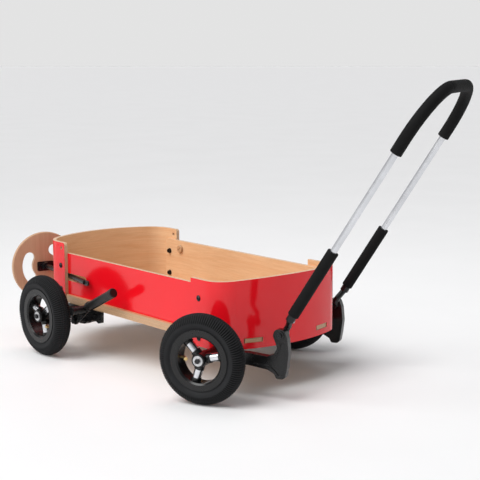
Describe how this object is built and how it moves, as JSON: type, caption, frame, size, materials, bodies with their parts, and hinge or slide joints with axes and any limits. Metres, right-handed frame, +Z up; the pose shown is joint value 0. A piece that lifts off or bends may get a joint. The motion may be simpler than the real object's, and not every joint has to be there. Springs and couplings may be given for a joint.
{
  "type": "pull wagon",
  "caption": "Open plywood tub wagon on spoked wheels with air tyres, with a steered front axle, a U-shaped pull handle, brake levers and a stowed steering wheel.",
  "frame": {"origin": "middle of the bounding box in plan, on the ground under the wheels", "axes": "+X forwards towards the pull handle, +Y to the wagon's left, +Z up"},
  "size_m": [1.537, 0.8375, 0.8823],
  "materials": {
    "bare_ply": "clear-lacquered birch plywood with visible layers at the edges",
    "red_ply": "glossy red outside face, clear-lacquered maple inside face, pale layered edges",
    "steel": "zinc-plated steel",
    "solid_wood": "clear-lacquered turned wood",
    "steering_ply": "clear-lacquered plywood with a rounded edge",
    "black_moulding": "satin black moulding with a fine grain",
    "black_metal": "satin black powder coat",
    "tube_aluminium": "satin anodised tube",
    "foam": "matt black closed-cell foam",
    "rubber": "smooth black rubber",
    "tyre_rubber": "dark grey pneumatic tyre with a blocked tread",
    "valve_brass": "plain brass"
  },
  "bodies": {
    "chassis": {"deck": "bare_ply", "subfloor": "bare_ply", "side_panel_right": "red_ply", "side_panel_left": "red_ply", "rear_panel": "red_ply", "front_panel": "red_ply", "panel_bolts": "steel", "panel_nuts": "steel", "wall_disc": "solid_wood", "rear_arm_right": "black_moulding", "rear_arm_left": "black_moulding", "rear_arm_screws": "steel", "rear_axle": "steel", "rear_axle_bolts": "steel", "turntable_plate": "steel", "turntable_screws": "steel", "kingpin": "steel", "kingpin_nut": "steel", "brake_pivots": "steel"},
    "front_axle": {"front_beam": "black_metal", "front_arm_right": "black_moulding", "front_arm_left": "black_moulding", "front_axles": "steel", "front_axle_bolts": "steel", "front_arm_bolts": "steel", "handle_pivots": "steel"},
    "handle": {"handle_tube": "tube_aluminium", "top_grip": "foam", "lower_grip_right": "foam", "lower_grip_left": "foam", "handle_end_right": "black_moulding", "handle_end_left": "black_moulding", "handle_rivets": "steel"},
    "wheel_body_rear_right": {"tyre_rear_right": "tyre_rubber", "wheel_rear_right": "black_moulding", "spokes_rear_right": "tube_aluminium", "bearings_rear_right": "steel", "valve_rear_right": "valve_brass"},
    "wheel_body_rear_left": {"tyre_rear_left": "tyre_rubber", "wheel_rear_left": "black_moulding", "spokes_rear_left": "tube_aluminium", "bearings_rear_left": "steel", "valve_rear_left": "valve_brass"},
    "wheel_body_front_right": {"tyre_front_right": "tyre_rubber", "wheel_front_right": "black_moulding", "spokes_front_right": "tube_aluminium", "bearings_front_right": "steel", "valve_front_right": "valve_brass"},
    "wheel_body_front_left": {"tyre_front_left": "tyre_rubber", "wheel_front_left": "black_moulding", "spokes_front_left": "tube_aluminium", "bearings_front_left": "steel", "valve_front_left": "valve_brass"},
    "brake_right": {"brake_lever_right": "black_metal", "brake_grip_right": "rubber"},
    "brake_left": {"brake_lever_left": "black_metal", "brake_grip_left": "rubber"},
    "steering": {"steering_wheel": "steering_ply", "steering_hub": "black_moulding", "steering_column": "black_metal"}
  },
  "joints": [
    {"name": "steer", "type": "hinge", "parent": "chassis", "child": "front_axle", "pos_m": [0.148, -0.03864, 0.11], "axis": [0, 0, 1], "range_deg": [-52, 0]},
    {"name": "handle_fold", "type": "hinge", "parent": "front_axle", "child": "handle", "pos_m": [0.31563, 0.04311, 0.188], "axis": [-0.4384, 0.8988, 0], "range_deg": [-37, 68]},
    {"name": "spin_rear_right", "type": "hinge", "parent": "chassis", "child": "wheel_body_rear_right", "pos_m": [-0.4588, -0.38015, 0.128], "axis": [0, 1, 0], "continuous": true},
    {"name": "spin_rear_left", "type": "hinge", "parent": "chassis", "child": "wheel_body_rear_left", "pos_m": [-0.4588, 0.30285, 0.128], "axis": [0, 1, 0], "continuous": true},
    {"name": "spin_front_right", "type": "hinge", "parent": "front_axle", "child": "wheel_body_front_right", "pos_m": [0.29771, -0.34558, 0.128], "axis": [-0.4384, 0.8988, 0], "continuous": true},
    {"name": "spin_front_left", "type": "hinge", "parent": "front_axle", "child": "wheel_body_front_left", "pos_m": [-0.0017, 0.26829, 0.128], "axis": [-0.4384, 0.8988, 0], "continuous": true},
    {"name": "brake_lever_swing_right", "type": "hinge", "parent": "chassis", "child": "brake_right", "pos_m": [-0.3888, -0.31365, 0.112], "axis": [0, 1, 0], "range_deg": [-3, 12]},
    {"name": "brake_lever_swing_left", "type": "hinge", "parent": "chassis", "child": "brake_left", "pos_m": [-0.3888, 0.23636, 0.112], "axis": [0, 1, 0], "range_deg": [-3, 12]},
    {"name": "steering_slide", "type": "slide", "parent": "chassis", "child": "steering", "axis": [-0.9823, 0.1874, 0], "range_m": [0, 0.2]}
  ]
}
